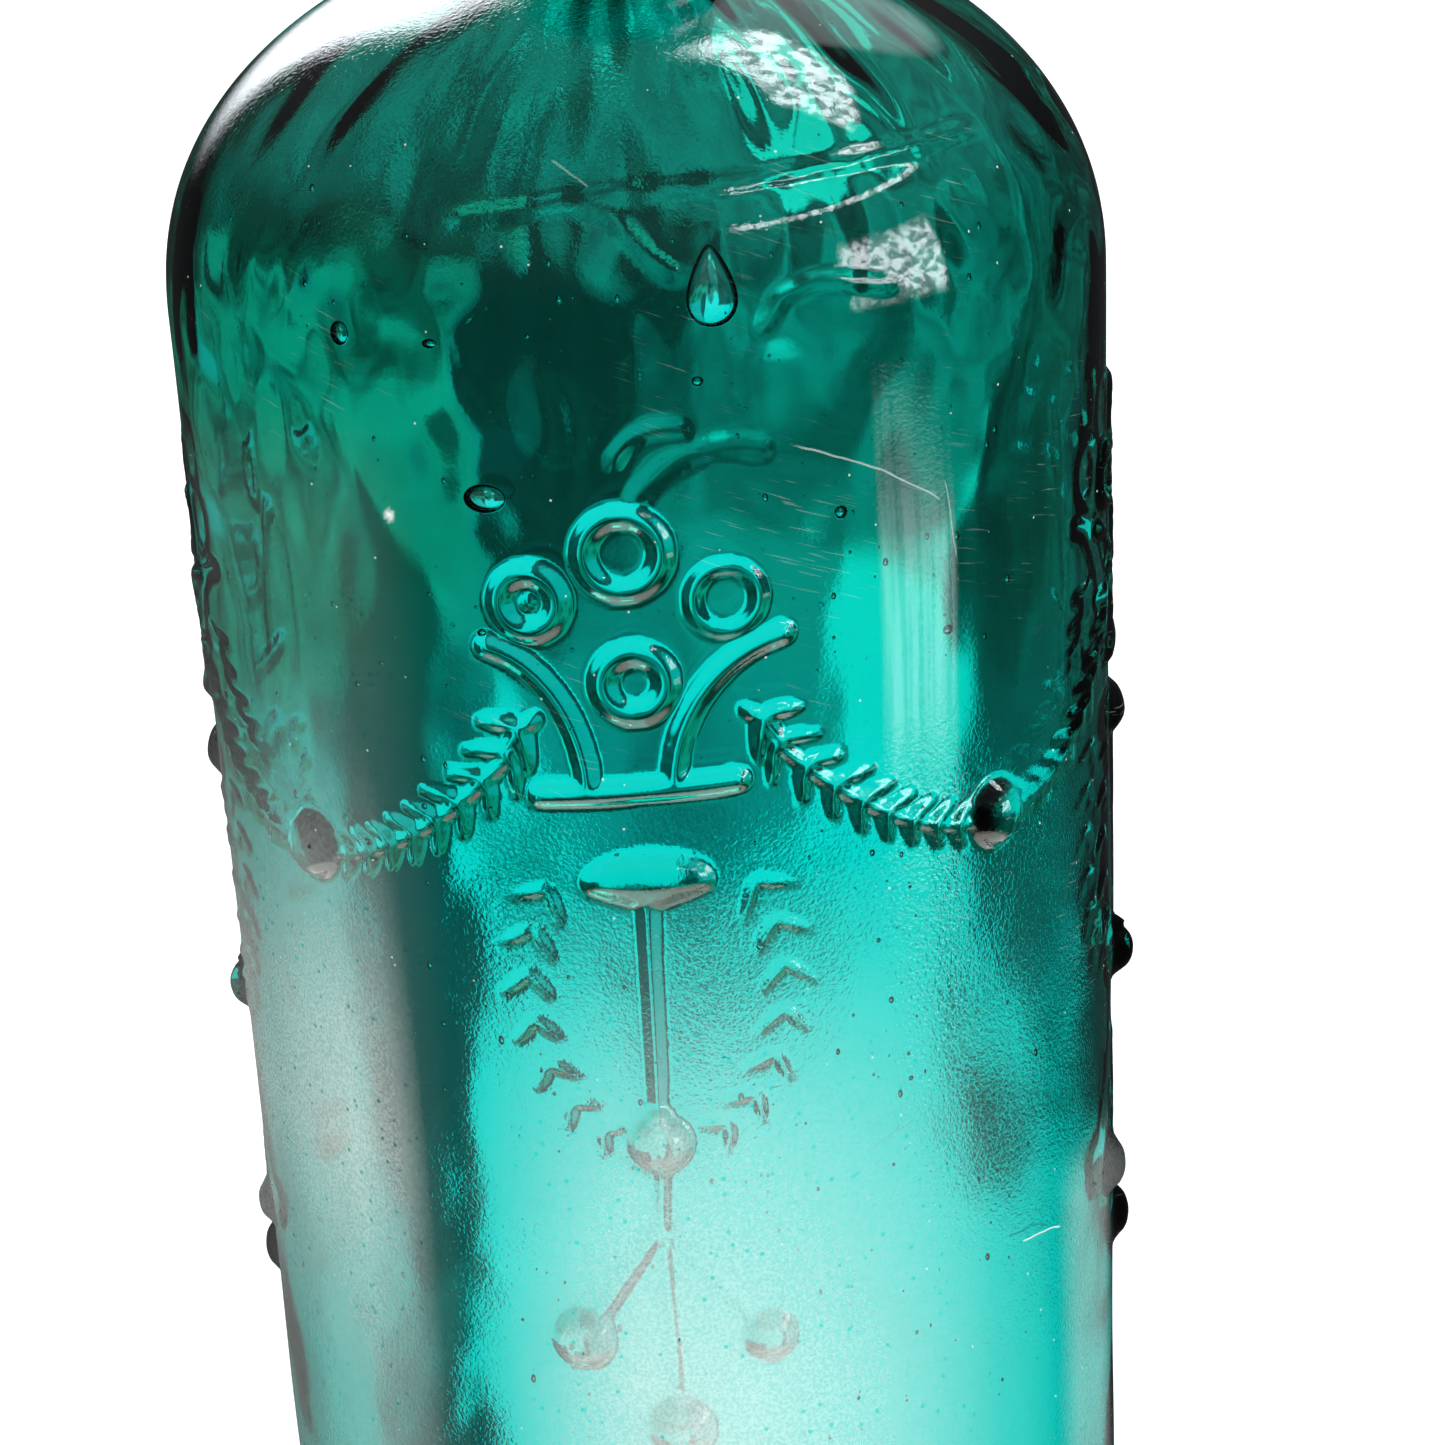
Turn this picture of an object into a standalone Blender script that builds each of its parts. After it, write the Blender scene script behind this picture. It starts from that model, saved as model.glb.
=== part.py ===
"""A round, mould-blown medicine bottle with relief on its body, a tooled lip and a cork.

Metres, +Z up. The origin is on the table under the middle of the foot. The middle one of three
equal motifs faces -Y, and the panel that faces +Y is plain. Lengths below are in millimetres
and are scaled by MM when used.
"""
import math

import bmesh
import bpy
from mathutils import Matrix, Vector

MM = 0.001
GAP = 0.3                    # clearance between two glass pieces

# Turned shape of the vessel
TURN_STEPS = 44
HEEL_RADIUS = 43.5           # body radius just above the rounded heel
SHOULDER_RADIUS = 45.9       # body radius where the shoulder starts
HEEL_ROUND = 7.0
WALL = 3.6
RING_INNER = 33.0            # inner edge of the flat ring that the bottle stands on
KICK = 9.0                   # height of the push-up under the foot
FLOOR = 6.0                  # glass left above the push-up
SHOULDER_Z = 163.0
SHOULDER_RISE = 35.0
SHOULDER_DEPTH = 47.2        # half width of the shoulder's curve, slightly past the axis
SHOULDER_POWER = 2.14        # 2 would be a plain ellipse
SHOULDER_SWEEP = 66.0        # degrees of the curve that are left when the neck takes over

# Neck, lip and cork
NECK_RADIUS = 14.2
NECK_FOOT_Z = SHOULDER_Z + 34.0
NECK_FILLET = 7.0
NECK_TOP_Z = NECK_FOOT_Z + 39.0
NECK_TOP_RADIUS = 13.2
BORE_RADIUS = 9.0
SEAT_RADIUS = 9.2
MOUTH_Z = NECK_TOP_Z + 6.0
SEAT_Z = MOUTH_Z - 14.0       # lower end of the tapered seat for the cork
MOUTH_RADIUS = 10.2
COLLAR_RADIUS = 17.0
COLLAR_Z = MOUTH_Z - 9.0     # lower edge of the collar's straight side
COLLAR_ROUND = 1.6
STRING_RING_RADIUS = 16.4    # rounded ring under the collar
STRING_RING_Z = MOUTH_Z - 14.4
STRING_RING_ROUND = 2.2
CORK_TOP_Z = MOUTH_Z + 10.0
CORK_CLEARANCE = 0.4
CORK_CHAMFER = 0.7
CORK_STEPS = 36

# Relief: places are (distance round the body from the motif's middle, height over the cap)
CAP_Z = 116.0                # height of the mushroom's cap, from which the relief is set out
GIRTH_RADIUS = 45.0          # distances round the body are measured at this radius
MOTIF_TURNS = (-90.0, 0.0, 90.0)   # degrees; a garland leads from each motif to the next
FLOWER_RADIUS = 3.85
FLOWER_TUBE = 1.05
FLOWER_SPREAD = 9.25
FLOWER_SIDE_Z = 26.7
FLOWER_TOP_Z = 31.4
FLOWER_LOW_Z = 19.0
BASKET_BAR_Z = 9.0
BASKET_BAR_HALF = 9.8
BASKET_ROD = 0.85
BASKET_ARC_X = 15.5          # centre and half axes of the curve of a basket side
BASKET_ARC_WIDE = 11.2
BASKET_ARC_TALL = 13.8
BASKET_ARC_END = 82.0
CAP_WIDE = 6.5
CAP_TALL = 2.4
CAP_PROUD = 1.6
STEM_BOTTOM_Z = -23.6
BALL_Z = -26.4
BALL_RADIUS = 3.3
BALL_PROUD = 1.8
FORK_Z = -35.8
FORK_BALL_X = 9.2
FORK_BALL_Z = -46.6
FORK_BALL_RADIUS = 3.0
DROP_BALL_Z = -55.9
BOSS_RADIUS = 3.3
BOSS_PROUD = 2.5
BOSS_Z = 0.5
GARLAND_RISE = 0.0225        # the garland hangs as a parabola, height = rise * distance squared
GARLAND_REACH = 25.0         # from the corner boss to the garland's end at a basket
GARLAND_STEPS = 10
GARLAND_ROD = 0.9
WREATH_WIDE = 12.2           # half axes of the ellipse that the wreath follows
WREATH_TALL = 16.3
WREATH_Z = -11.0
WREATH_TOP = 30.0
WREATH_END = -60.0
WREATH_STEPS = 5
WREATH_ROD = 0.7
FACET_TWIST = 11.0           # degrees that keep the corners of round relief off the body's edges


def clear_scene():
    for old in list(bpy.data.objects):
        bpy.data.objects.remove(old, do_unlink=True)


def make_material(name, colour, roughness, transmission=0.0):
    material = bpy.data.materials.new(name)
    material.use_nodes = True
    shader = material.node_tree.nodes["Principled BSDF"]
    shader.inputs["Base Color"].default_value = (*colour, 1.0)
    shader.inputs["Roughness"].default_value = roughness
    shader.inputs["Metallic"].default_value = 0.0
    shader.inputs["Transmission Weight"].default_value = transmission
    return material


def finish_object(name, bm, material):
    """Turn a bmesh in millimetres into a named, smooth-shaded object in metres."""
    bmesh.ops.scale(bm, vec=Vector((MM, MM, MM)), verts=bm.verts)
    bmesh.ops.recalc_face_normals(bm, faces=bm.faces)
    mesh = bpy.data.meshes.new(name)
    bm.to_mesh(mesh)
    bm.free()
    mesh.materials.append(material)
    mesh.shade_smooth()
    mesh.set_sharp_from_angle(angle=math.radians(35.0))
    piece = bpy.data.objects.new(name, mesh)
    bpy.context.scene.collection.objects.link(piece)
    return piece


# ---- outlines: lists of (radius, height) ----

def arc(centre_r, centre_z, radius, start_deg, end_deg, steps):
    """Points of a circular arc, with its start and its end."""
    points = []
    for step in range(steps + 1):
        angle = math.radians(start_deg + (end_deg - start_deg) * step / steps)
        points.append((centre_r + radius * math.cos(angle), centre_z + radius * math.sin(angle)))
    return points


def body_radius(z):
    share = (z - HEEL_ROUND) / (SHOULDER_Z - HEEL_ROUND)
    return HEEL_RADIUS + (SHOULDER_RADIUS - HEEL_RADIUS) * share


def seat_radius(z):
    """Radius of the tapered mouth that the cork sits in, and of its taper carried on upwards."""
    return SEAT_RADIUS + (MOUTH_RADIUS - SEAT_RADIUS) * (z - SEAT_Z) / (MOUTH_Z - SEAT_Z)


def neck_radius(z):
    share = (z - NECK_FOOT_Z - NECK_FILLET) / (NECK_TOP_Z - NECK_FOOT_Z - NECK_FILLET)
    return NECK_RADIUS + (NECK_TOP_RADIUS - NECK_RADIUS) * share


def shoulder(start_radius, rise, sweep, steps):
    """The shoulder's rounded curve from the body inwards and up."""
    points = []
    power = 2.0 / SHOULDER_POWER
    for step in range(steps + 1):
        angle = math.radians(sweep * step / steps)
        inwards = SHOULDER_DEPTH * (1.0 - math.cos(angle) ** power)
        points.append((start_radius - inwards, SHOULDER_Z + rise * math.sin(angle) ** power))
    return points


def kick_height(radius):
    return KICK * (1.0 - (radius / RING_INNER) ** 2)


def vessel_outline():
    """Outer side from the push-up to the rim, then the inner side back down to the axis."""
    outer = [(r, kick_height(r)) for r in (0.0, 13.0, 25.0, RING_INNER)]
    outer += arc(HEEL_RADIUS - HEEL_ROUND, HEEL_ROUND, HEEL_ROUND, -90.0, 0.0, 4)
    outer += shoulder(SHOULDER_RADIUS, SHOULDER_RISE, SHOULDER_SWEEP, 7)
    start_r, start_z = outer[-1]
    for step in range(1, 5):
        t = step / 4.0
        r = (1 - t) ** 2 * start_r + 2 * t * (1 - t) * NECK_RADIUS + t * t * NECK_RADIUS
        z = (1 - t) ** 2 * start_z + 2 * t * (1 - t) * NECK_FOOT_Z
        outer.append((r, z + t * t * (NECK_FOOT_Z + NECK_FILLET)))
    outer.append((NECK_TOP_RADIUS, NECK_TOP_Z))

    inner = [(seat_radius(NECK_TOP_Z), NECK_TOP_Z), (SEAT_RADIUS, SEAT_Z)]
    inner.append((BORE_RADIUS, NECK_FOOT_Z + NECK_FILLET / 2))
    inner += reversed(shoulder(SHOULDER_RADIUS - WALL, SHOULDER_RISE - WALL, 73.0, 5))
    inner_heel = HEEL_RADIUS - WALL - HEEL_ROUND
    inner += arc(inner_heel, FLOOR + HEEL_ROUND, HEEL_ROUND, 0.0, -80.0, 3)
    inner += [(r, FLOOR + kick_height(r)) for r in (26.0, 13.0, 0.0)]
    return outer + inner


def lip_outline():
    """One gather of glass: a square collar with rounded edges over a string ring."""
    ledge_z = NECK_TOP_Z + GAP
    points = [(neck_radius(ledge_z) + GAP, ledge_z), (seat_radius(ledge_z), ledge_z)]
    points += arc(MOUTH_RADIUS + 1.3, MOUTH_Z - 1.3, 1.3, 180.0, 90.0, 3)
    edge = COLLAR_RADIUS - COLLAR_ROUND
    points += arc(edge, MOUTH_Z - COLLAR_ROUND, COLLAR_ROUND, 90.0, 0.0, 3)
    points += arc(edge, COLLAR_Z, COLLAR_ROUND, 0.0, -90.0, 3)
    centre = STRING_RING_RADIUS - STRING_RING_ROUND
    points += arc(centre, STRING_RING_Z, STRING_RING_ROUND, 60.0, -90.0, 6)
    skirt_z = STRING_RING_Z - STRING_RING_ROUND
    points.append((neck_radius(skirt_z) + GAP, skirt_z))
    return points


def cork_outline():
    def side(z):
        return seat_radius(z) - CORK_CLEARANCE
    return [
        (0.0, SEAT_Z),
        (side(SEAT_Z) - CORK_CHAMFER, SEAT_Z),
        (side(SEAT_Z + CORK_CHAMFER), SEAT_Z + CORK_CHAMFER),
        (side(CORK_TOP_Z - CORK_CHAMFER), CORK_TOP_Z - CORK_CHAMFER),
        (side(CORK_TOP_Z) - CORK_CHAMFER, CORK_TOP_Z),
        (0.0, CORK_TOP_Z),
    ]


def turned(name, outline, steps, material, closed):
    """Spin an outline round the Z axis; a closed outline is a ring that stays off the axis."""
    bm = bmesh.new()
    verts = [bm.verts.new((r, 0.0, z)) for r, z in outline]
    edges = [bm.edges.new(pair) for pair in zip(verts, verts[1:])]
    if closed:
        edges.append(bm.edges.new((verts[-1], verts[0])))
    bmesh.ops.spin(bm, geom=verts + edges, cent=(0, 0, 0), axis=(0, 0, 1),
                   angle=2 * math.pi, steps=steps, use_merge=False)
    bmesh.ops.remove_doubles(bm, verts=bm.verts, dist=0.001)
    return finish_object(name, bm, material)


# ---- relief: small solids half sunk into the body's outer side ----

def surface_frame(across, z, turn):
    """Matrix at a place on the body: X runs round the body, Y up and Z outwards."""
    angle = across / GIRTH_RADIUS + turn
    outwards = Vector((math.sin(angle), -math.cos(angle), 0.0))
    around = Vector((math.cos(angle), math.sin(angle), 0.0))
    place = outwards * body_radius(CAP_Z + z) + Vector((0.0, 0.0, CAP_Z + z))
    axes = Matrix((around, Vector((0.0, 0.0, 1.0)), outwards)).transposed()
    return Matrix.Translation(place) @ axes.to_4x4()


def add_stud(bm, across, z, turn, half_sizes, steps=8):
    """A low ellipsoid with its pole facing outwards."""
    size = Matrix.Diagonal((*half_sizes, 1.0))
    twist = Matrix.Rotation(math.radians(FACET_TWIST), 4, "Z")
    bmesh.ops.create_uvsphere(bm, u_segments=steps, v_segments=6, radius=1.0,
                              matrix=surface_frame(across, z, turn) @ size @ twist)


def add_flower(bm, across, z, turn):
    """A raised ring with an open middle."""
    frame = surface_frame(across, z, turn)
    tilt = Matrix.Translation((FLOWER_RADIUS, 0.0, 0.0)) @ Matrix.Rotation(math.pi / 2, 4, "X")
    made = bmesh.ops.create_circle(bm, segments=6, radius=FLOWER_TUBE, matrix=frame @ tilt)
    verts = made["verts"]
    edges = list({edge for vert in verts for edge in vert.link_edges})
    spun = bmesh.ops.spin(bm, geom=verts + edges, cent=frame.translation,
                          axis=frame.to_3x3().col[2], angle=2 * math.pi, steps=12)
    last = [item for item in spun["geom_last"] if isinstance(item, bmesh.types.BMVert)]
    bmesh.ops.remove_doubles(bm, verts=verts + last, dist=0.001)


def add_rod(bm, path, radii, turn, sides=6):
    """A tube along places on the body, with a radius at each place and flat ends."""
    rings = []
    for index, (across, z) in enumerate(path):
        frame = surface_frame(across, z, turn)
        before = surface_frame(*path[max(index - 1, 0)], turn).translation
        after = surface_frame(*path[min(index + 1, len(path) - 1)], turn).translation
        along = (after - before).normalized()
        outwards = frame.to_3x3().col[2].copy()
        outwards = (outwards - along * outwards.dot(along)).normalized()
        beside = along.cross(outwards)
        ring = []
        for side in range(sides):
            angle = 2 * math.pi * side / sides + math.radians(FACET_TWIST)
            offset = beside * math.cos(angle) + outwards * math.sin(angle)
            ring.append(bm.verts.new(frame.translation + offset * radii[index]))
        rings.append(ring)
    for near, far in zip(rings, rings[1:]):
        for side in range(sides):
            nxt = (side + 1) % sides
            bm.faces.new((near[side], near[nxt], far[nxt], far[side]))
    bm.faces.new(rings[0])
    bm.faces.new(rings[-1])


def round_ended(path, radius):
    """Radii of a rod that narrows at its first and last place."""
    return [radius * 0.5] + [radius] * (len(path) - 2) + [radius * 0.5]


def garland_path():
    """The whole garland from one basket to the next, hanging under the corner boss."""
    corner = math.radians(45.0) * GIRTH_RADIUS
    path = []
    for step in range(GARLAND_STEPS + 1):
        reach = GARLAND_REACH * (2.0 * step / GARLAND_STEPS - 1.0)
        path.append((corner + reach, GARLAND_RISE * reach ** 2))
    return path


def wreath_path(side):
    """One sprig of the wreath that hangs round the mushroom's stem."""
    path = []
    for step in range(WREATH_STEPS + 1):
        share = step / WREATH_STEPS
        angle = math.radians(WREATH_TOP + (WREATH_END - WREATH_TOP) * share)
        across = side * WREATH_WIDE * math.cos(angle)
        path.append((across, WREATH_Z + WREATH_TALL * math.sin(angle)))
    return path


def add_studs(bm, turn, leads_on):
    """Flowers, cap and balls of one motif, and the corner boss where a garland leads on."""
    add_flower(bm, 0.0, FLOWER_TOP_Z, turn)
    add_flower(bm, 0.0, FLOWER_LOW_Z, turn)
    add_stud(bm, 0.0, 0.0, turn, (CAP_WIDE, CAP_TALL, CAP_PROUD), steps=12)
    add_stud(bm, 0.0, BALL_Z, turn, (BALL_RADIUS, BALL_RADIUS, BALL_PROUD))
    add_stud(bm, 0.0, DROP_BALL_Z, turn, (BALL_RADIUS, BALL_RADIUS, BALL_PROUD))
    if leads_on:
        corner = math.radians(45.0) * GIRTH_RADIUS
        add_stud(bm, corner, BOSS_Z, turn, (BOSS_RADIUS, BOSS_RADIUS, BOSS_PROUD))
    for side in (-1, 1):
        add_flower(bm, side * FLOWER_SPREAD, FLOWER_SIDE_Z, turn)
        add_stud(bm, side * FORK_BALL_X, FORK_BALL_Z, turn,
                 (FORK_BALL_RADIUS, FORK_BALL_RADIUS, BALL_PROUD))


def add_rods(bm, turn, leads_on):
    """Basket sides, mushroom stem, wreath, garland and the two slanting rods of the fork."""
    if leads_on:
        garland = garland_path()
        add_rod(bm, garland, round_ended(garland, GARLAND_ROD), turn)
    add_rod(bm, [(0.0, -1.0), (0.0, STEM_BOTTOM_Z)], [1.05, 0.75], turn)
    for side in (-1, 1):
        basket_side = []
        for step in range(6):
            angle = math.radians(BASKET_ARC_END * step / 5)
            across = side * (BASKET_ARC_X - BASKET_ARC_WIDE * math.cos(angle))
            basket_side.append((across, BASKET_BAR_Z + BASKET_ARC_TALL * math.sin(angle)))
        add_rod(bm, basket_side, round_ended(basket_side, BASKET_ROD), turn)
        fork = [(side * 0.6, FORK_Z), (side * FORK_BALL_X, FORK_BALL_Z)]
        add_rod(bm, fork, [0.5, 0.75], turn)
        wreath = wreath_path(side)
        add_rod(bm, wreath, round_ended(wreath, WREATH_ROD), turn)


def add_crossings(bm, turn, _leads_on):
    """The basket's bar and the thin upright line that carries the balls."""
    steps = 4
    bar = []
    for step in range(steps + 1):
        across = BASKET_BAR_HALF * (2.0 * step / steps - 1.0)
        bar.append((across, BASKET_BAR_Z))
    add_rod(bm, bar, round_ended(bar, BASKET_ROD), turn)
    add_rod(bm, [(0.0, BALL_Z), (0.0, DROP_BALL_Z)], [0.5, 0.4], turn)


def relief_layer(name, add_items, material):
    """A set of items that don't touch each other, for every motif, as one guide object."""
    bm = bmesh.new()
    for degrees in MOTIF_TURNS:
        add_items(bm, math.radians(degrees), degrees < MOTIF_TURNS[-1])
    guide = finish_object(name, bm, material)
    guide.hide_render = True
    guide.display_type = "WIRE"
    return guide


def make_vessel(glass):
    vessel = turned("bottle_body", vessel_outline(), TURN_STEPS, glass, closed=False)
    layers = [("relief_studs", add_studs), ("relief_rods", add_rods),
              ("relief_crossings", add_crossings)]
    for name, add_items in layers:
        union = vessel.modifiers.new(name, "BOOLEAN")
        union.operation = "UNION"
        union.solver = "EXACT"
        union.object = relief_layer(name, add_items, glass)
    return vessel


def main():
    clear_scene()
    glass = make_material("teal_glass", (0.02, 0.36, 0.31), 0.08, transmission=0.9)
    cork = make_material("natural_cork", (0.45, 0.27, 0.14), 0.85)
    make_vessel(glass)
    turned("applied_lip", lip_outline(), TURN_STEPS, glass, closed=True)
    turned("cork_stopper", cork_outline(), CORK_STEPS, cork, closed=False)


main()
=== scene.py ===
import math

import bmesh
import bpy
import numpy as np
from mathutils import Matrix, Vector


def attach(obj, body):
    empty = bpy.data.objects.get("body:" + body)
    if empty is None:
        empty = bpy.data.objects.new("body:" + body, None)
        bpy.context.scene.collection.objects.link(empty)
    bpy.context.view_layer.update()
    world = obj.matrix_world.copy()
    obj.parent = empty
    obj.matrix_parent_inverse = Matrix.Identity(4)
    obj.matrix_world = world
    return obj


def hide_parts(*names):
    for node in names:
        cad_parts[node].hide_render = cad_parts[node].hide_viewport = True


# A round, mould-blown medicine bottle: thick teal glass with seeds, relief, an applied lip and
# a cork. Lengths are millimetres in the object's frame and are scaled by MM when a mesh is made.
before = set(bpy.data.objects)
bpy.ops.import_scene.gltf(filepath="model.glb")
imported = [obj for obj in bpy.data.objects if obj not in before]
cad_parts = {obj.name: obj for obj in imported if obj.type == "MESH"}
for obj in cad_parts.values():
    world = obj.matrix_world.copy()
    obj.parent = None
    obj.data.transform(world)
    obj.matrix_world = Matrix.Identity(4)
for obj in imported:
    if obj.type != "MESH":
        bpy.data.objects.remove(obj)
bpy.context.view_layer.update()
MM = 0.001

# ---- the turned shape, as in the CAD ----
HEEL_RADIUS = 43.5
SHOULDER_RADIUS = 45.9
HEEL_ROUND = 7.0
WALL = 3.6
RING_INNER = 33.0
KICK = 9.0
FLOOR = 6.0
SHOULDER_Z = 163.0
SHOULDER_RISE = 35.0
SHOULDER_DEPTH = 47.2
SHOULDER_POWER = 2.14
SHOULDER_SWEEP = 66.0
INNER_SWEEP = 73.0
NECK_RADIUS = 14.2
NECK_FOOT_Z = SHOULDER_Z + 34.0
NECK_FILLET = 7.0
NECK_TOP_Z = NECK_FOOT_Z + 39.0
NECK_TOP_RADIUS = 13.2
BORE_RADIUS = 9.0
SEAT_RADIUS = 9.2
MOUTH_Z = NECK_TOP_Z + 6.0
SEAT_Z = MOUTH_Z - 14.0
MOUTH_RADIUS = 10.2
GAP = 0.3
COLLAR_RADIUS = 17.0
COLLAR_Z = MOUTH_Z - 9.0
COLLAR_ROUND = 1.6
STRING_RING_RADIUS = 16.4
STRING_RING_Z = MOUTH_Z - 14.4
STRING_RING_ROUND = 2.2
CORK_TOP_Z = MOUTH_Z + 10.0
CORK_CLEARANCE = 0.4

# ---- the relief: (x round the body, y over the cap) from each motif's middle ----
CAP_Z = 116.0
GIRTH_RADIUS = 45.0
QUARTER = math.radians(90.0) * GIRTH_RADIUS
RELIEF_BOTTOM = CAP_Z - 60.0
RELIEF_TOP = SHOULDER_Z - 3.0
FLAWS_TOP = CAP_Z + 66.0
SEAM_X = math.radians(97.0) * GIRTH_RADIUS   # the mould's two upright seams
GARLAND_CURVE = 0.0225       # a garland rises by this times the square of the way from its boss
WREATH_Y = -10.6             # middle of the U that the wreath's leaves follow
WREATH_HALF_WIDTH = 12.0
WREATH_HALF_HEIGHT = 16.2
LEAF_SPLAY = math.radians(46.0)   # angle between a leaf and its stem

# ---- grid of the glass mesh ----
FRONT_CELL = 0.34            # column width on the quarter that faces -Y
BACK_CELL = 0.8
FRONT_HALF_ANGLE = 48.0
FINE_ROW = 0.36
COARSE_ROW = 0.5
SEEDS = 620                  # small bubbles in the wall, besides the placed ones
CORK_PITS = 190
DROP_WIDTH = 2.05            # a bubble wider than this narrows upwards, as a drop does

# ---- scratches on the front, and one painted glint: two ends (distance round the body, height over the cap), strength ----
SCRATCHES_AND_GLINT = [
    (14.5, 39.5, 30.0, 31.6, 0.3), (-5.6, 65.2, -1.8, 62.8, 0.16), (30.0, 34.0, 31.0, 26.0, 0.2),
    (-44.0, -30.0, -29.0, -66.0, 0.16), (-40.0, -34.0, -27.5, -62.0, 0.2),
    # the last entry on the next line is a painted glint, a short bright white slit low on the right, not a
    # scratch
    (20.0, -31.0, 27.0, -29.0, 0.15), (38.1, -45.2, 45.4, -46.6, 0.6),
]

# ---- glass colour: what a metre of it leaves of red, green and blue, and how strongly ----
GLASS_TINT = (0.0, 0.93, 0.914, 1.0)
GLASS_DENSITY = 900.0
PEBBLE_HEIGHT = 0.000026     # metres


# ---------------------------------------------------------------- outlines

def arc(centre_r, centre_z, radius, start_deg, end_deg, steps):
    angles = np.radians(np.linspace(start_deg, end_deg, steps + 1))
    return np.stack([centre_r + radius * np.cos(angles), centre_z + radius * np.sin(angles)], 1)


def body_radius(z):
    return HEEL_RADIUS + (SHOULDER_RADIUS - HEEL_RADIUS) * (z - HEEL_ROUND) / (SHOULDER_Z - HEEL_ROUND)


def seat_radius(z):
    return SEAT_RADIUS + (MOUTH_RADIUS - SEAT_RADIUS) * (z - SEAT_Z) / (MOUTH_Z - SEAT_Z)


def neck_radius(z):
    foot = NECK_FOOT_Z + NECK_FILLET
    return NECK_RADIUS + (NECK_TOP_RADIUS - NECK_RADIUS) * (z - foot) / (NECK_TOP_Z - foot)


def kick_height(radius):
    return KICK * (1.0 - (radius / RING_INNER) ** 2)


def shoulder(start_radius, rise, sweep, steps):
    angles = np.radians(np.linspace(0.0, sweep, steps + 1))
    power = 2.0 / SHOULDER_POWER
    radii = start_radius - SHOULDER_DEPTH * (1.0 - np.cos(angles) ** power)
    return np.stack([radii, SHOULDER_Z + rise * np.sin(angles) ** power], 1)


def spaced(start, end, step):
    """Evenly spaced values from start up to, but without, end."""
    count = max(1, round(abs(end - start) / step))
    return np.linspace(start, end, count, endpoint=False)


def outer_rows():
    """(radius, height, column step) from the push-up's middle to the rim of the neck."""
    rows = [(r, kick_height(r), 4) for r in np.linspace(4.0, RING_INNER, 9)]
    rows += [(r, z, 4) for r, z in arc(HEEL_RADIUS - HEEL_ROUND, HEEL_ROUND, HEEL_ROUND, -90, 0, 10)]
    rows += [(body_radius(z), z, 2) for z in spaced(9.0, RELIEF_BOTTOM, 2.0)]
    relief = np.concatenate([spaced(RELIEF_BOTTOM, CAP_Z - 29.0, COARSE_ROW),
                             spaced(CAP_Z - 29.0, CAP_Z + 38.0, FINE_ROW),
                             spaced(CAP_Z + 38.0, RELIEF_TOP, COARSE_ROW)])
    rows += [(body_radius(z), z, 1) for z in relief]
    rows += [(body_radius(z), z, 2) for z in (RELIEF_TOP, SHOULDER_Z - 1.5)]
    top = shoulder(SHOULDER_RADIUS, SHOULDER_RISE, SHOULDER_SWEEP, 110)
    rows += [(r, z, 2) for r, z in top]
    start_r, start_z = top[-1]
    for t in np.linspace(0.0, 1.0, 13)[1:]:
        r = (1 - t) ** 2 * start_r + (1 - (1 - t) ** 2) * NECK_RADIUS
        z = (1 - t) ** 2 * start_z + 2 * t * (1 - t) * NECK_FOOT_Z + t * t * (NECK_FOOT_Z + NECK_FILLET)
        rows.append((r, z, 4))
    neck = np.linspace(NECK_FOOT_Z + NECK_FILLET + 2.0, NECK_TOP_Z - 0.5, 16)
    rows += [(neck_radius(z), z, 4) for z in neck]
    rows += [(neck_radius(NECK_TOP_Z) - 0.5, NECK_TOP_Z, 4)]
    return rows


def inner_rows():
    """(radius, height, column step) from the rim down the bore to the floor's middle."""
    rows = [(seat_radius(NECK_TOP_Z) + 0.5, NECK_TOP_Z, 4)]
    rows += [(seat_radius(z), z, 4) for z in np.linspace(NECK_TOP_Z - 0.5, SEAT_Z, 6)]
    bore_foot = NECK_FOOT_Z + NECK_FILLET / 2
    rows += [(BORE_RADIUS + (SEAT_RADIUS - BORE_RADIUS) * t, bore_foot + (SEAT_Z - bore_foot) * t, 4)
             for t in np.linspace(0.93, 0.0, 14)]
    top = shoulder(SHOULDER_RADIUS - WALL, SHOULDER_RISE - WALL, INNER_SWEEP, 46)[::-1]
    rows += [(r, z, 2) for r, z in top]
    rows += [(body_radius(z) - WALL, z, 2) for z in spaced(SHOULDER_Z - 1.0, FLOOR + HEEL_ROUND, 1.5)]
    heel = HEEL_RADIUS - WALL - HEEL_ROUND
    rows += [(r, z, 2) for r, z in arc(heel, FLOOR + HEEL_ROUND, HEEL_ROUND, 0, -80, 8)]
    rows += [(r, FLOOR + kick_height(r), 4) for r in np.linspace(31.0, 4.0, 8)]
    return rows


# ---------------------------------------------------------------- smooth random waves

def waves(theta, z, seed, length, count=26, upright=1.0):
    """A smooth random field about 1 high on the turned surface, periodic round the axis.

    length is the usual distance between crests in millimetres; upright above 1 stretches
    the crests along the axis.
    """
    rng = np.random.default_rng(seed)
    total = np.zeros(np.broadcast(theta, z).shape)
    for _ in range(count):
        heading = rng.uniform(0.0, 2 * math.pi)
        number = 2 * math.pi / (length * rng.uniform(0.7, 1.6))
        around = round(number * math.cos(heading) * GIRTH_RADIUS)
        along = number * math.sin(heading) / upright
        total += np.cos(around * theta + along * z + rng.uniform(0.0, 2 * math.pi))
    return total * math.sqrt(2.0 / count)


# ---------------------------------------------------------------- relief heights

def dome(distance):
    """Height of a half round over a normalised distance from its middle."""
    return np.sqrt(np.clip(1.0 - distance ** 2, 0.0, None))


def soft_dome(distance):
    """A half round with a softly rounded foot."""
    inside = np.clip(1.0 - distance ** 2, 0.0, None)
    return inside ** 0.55


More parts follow.
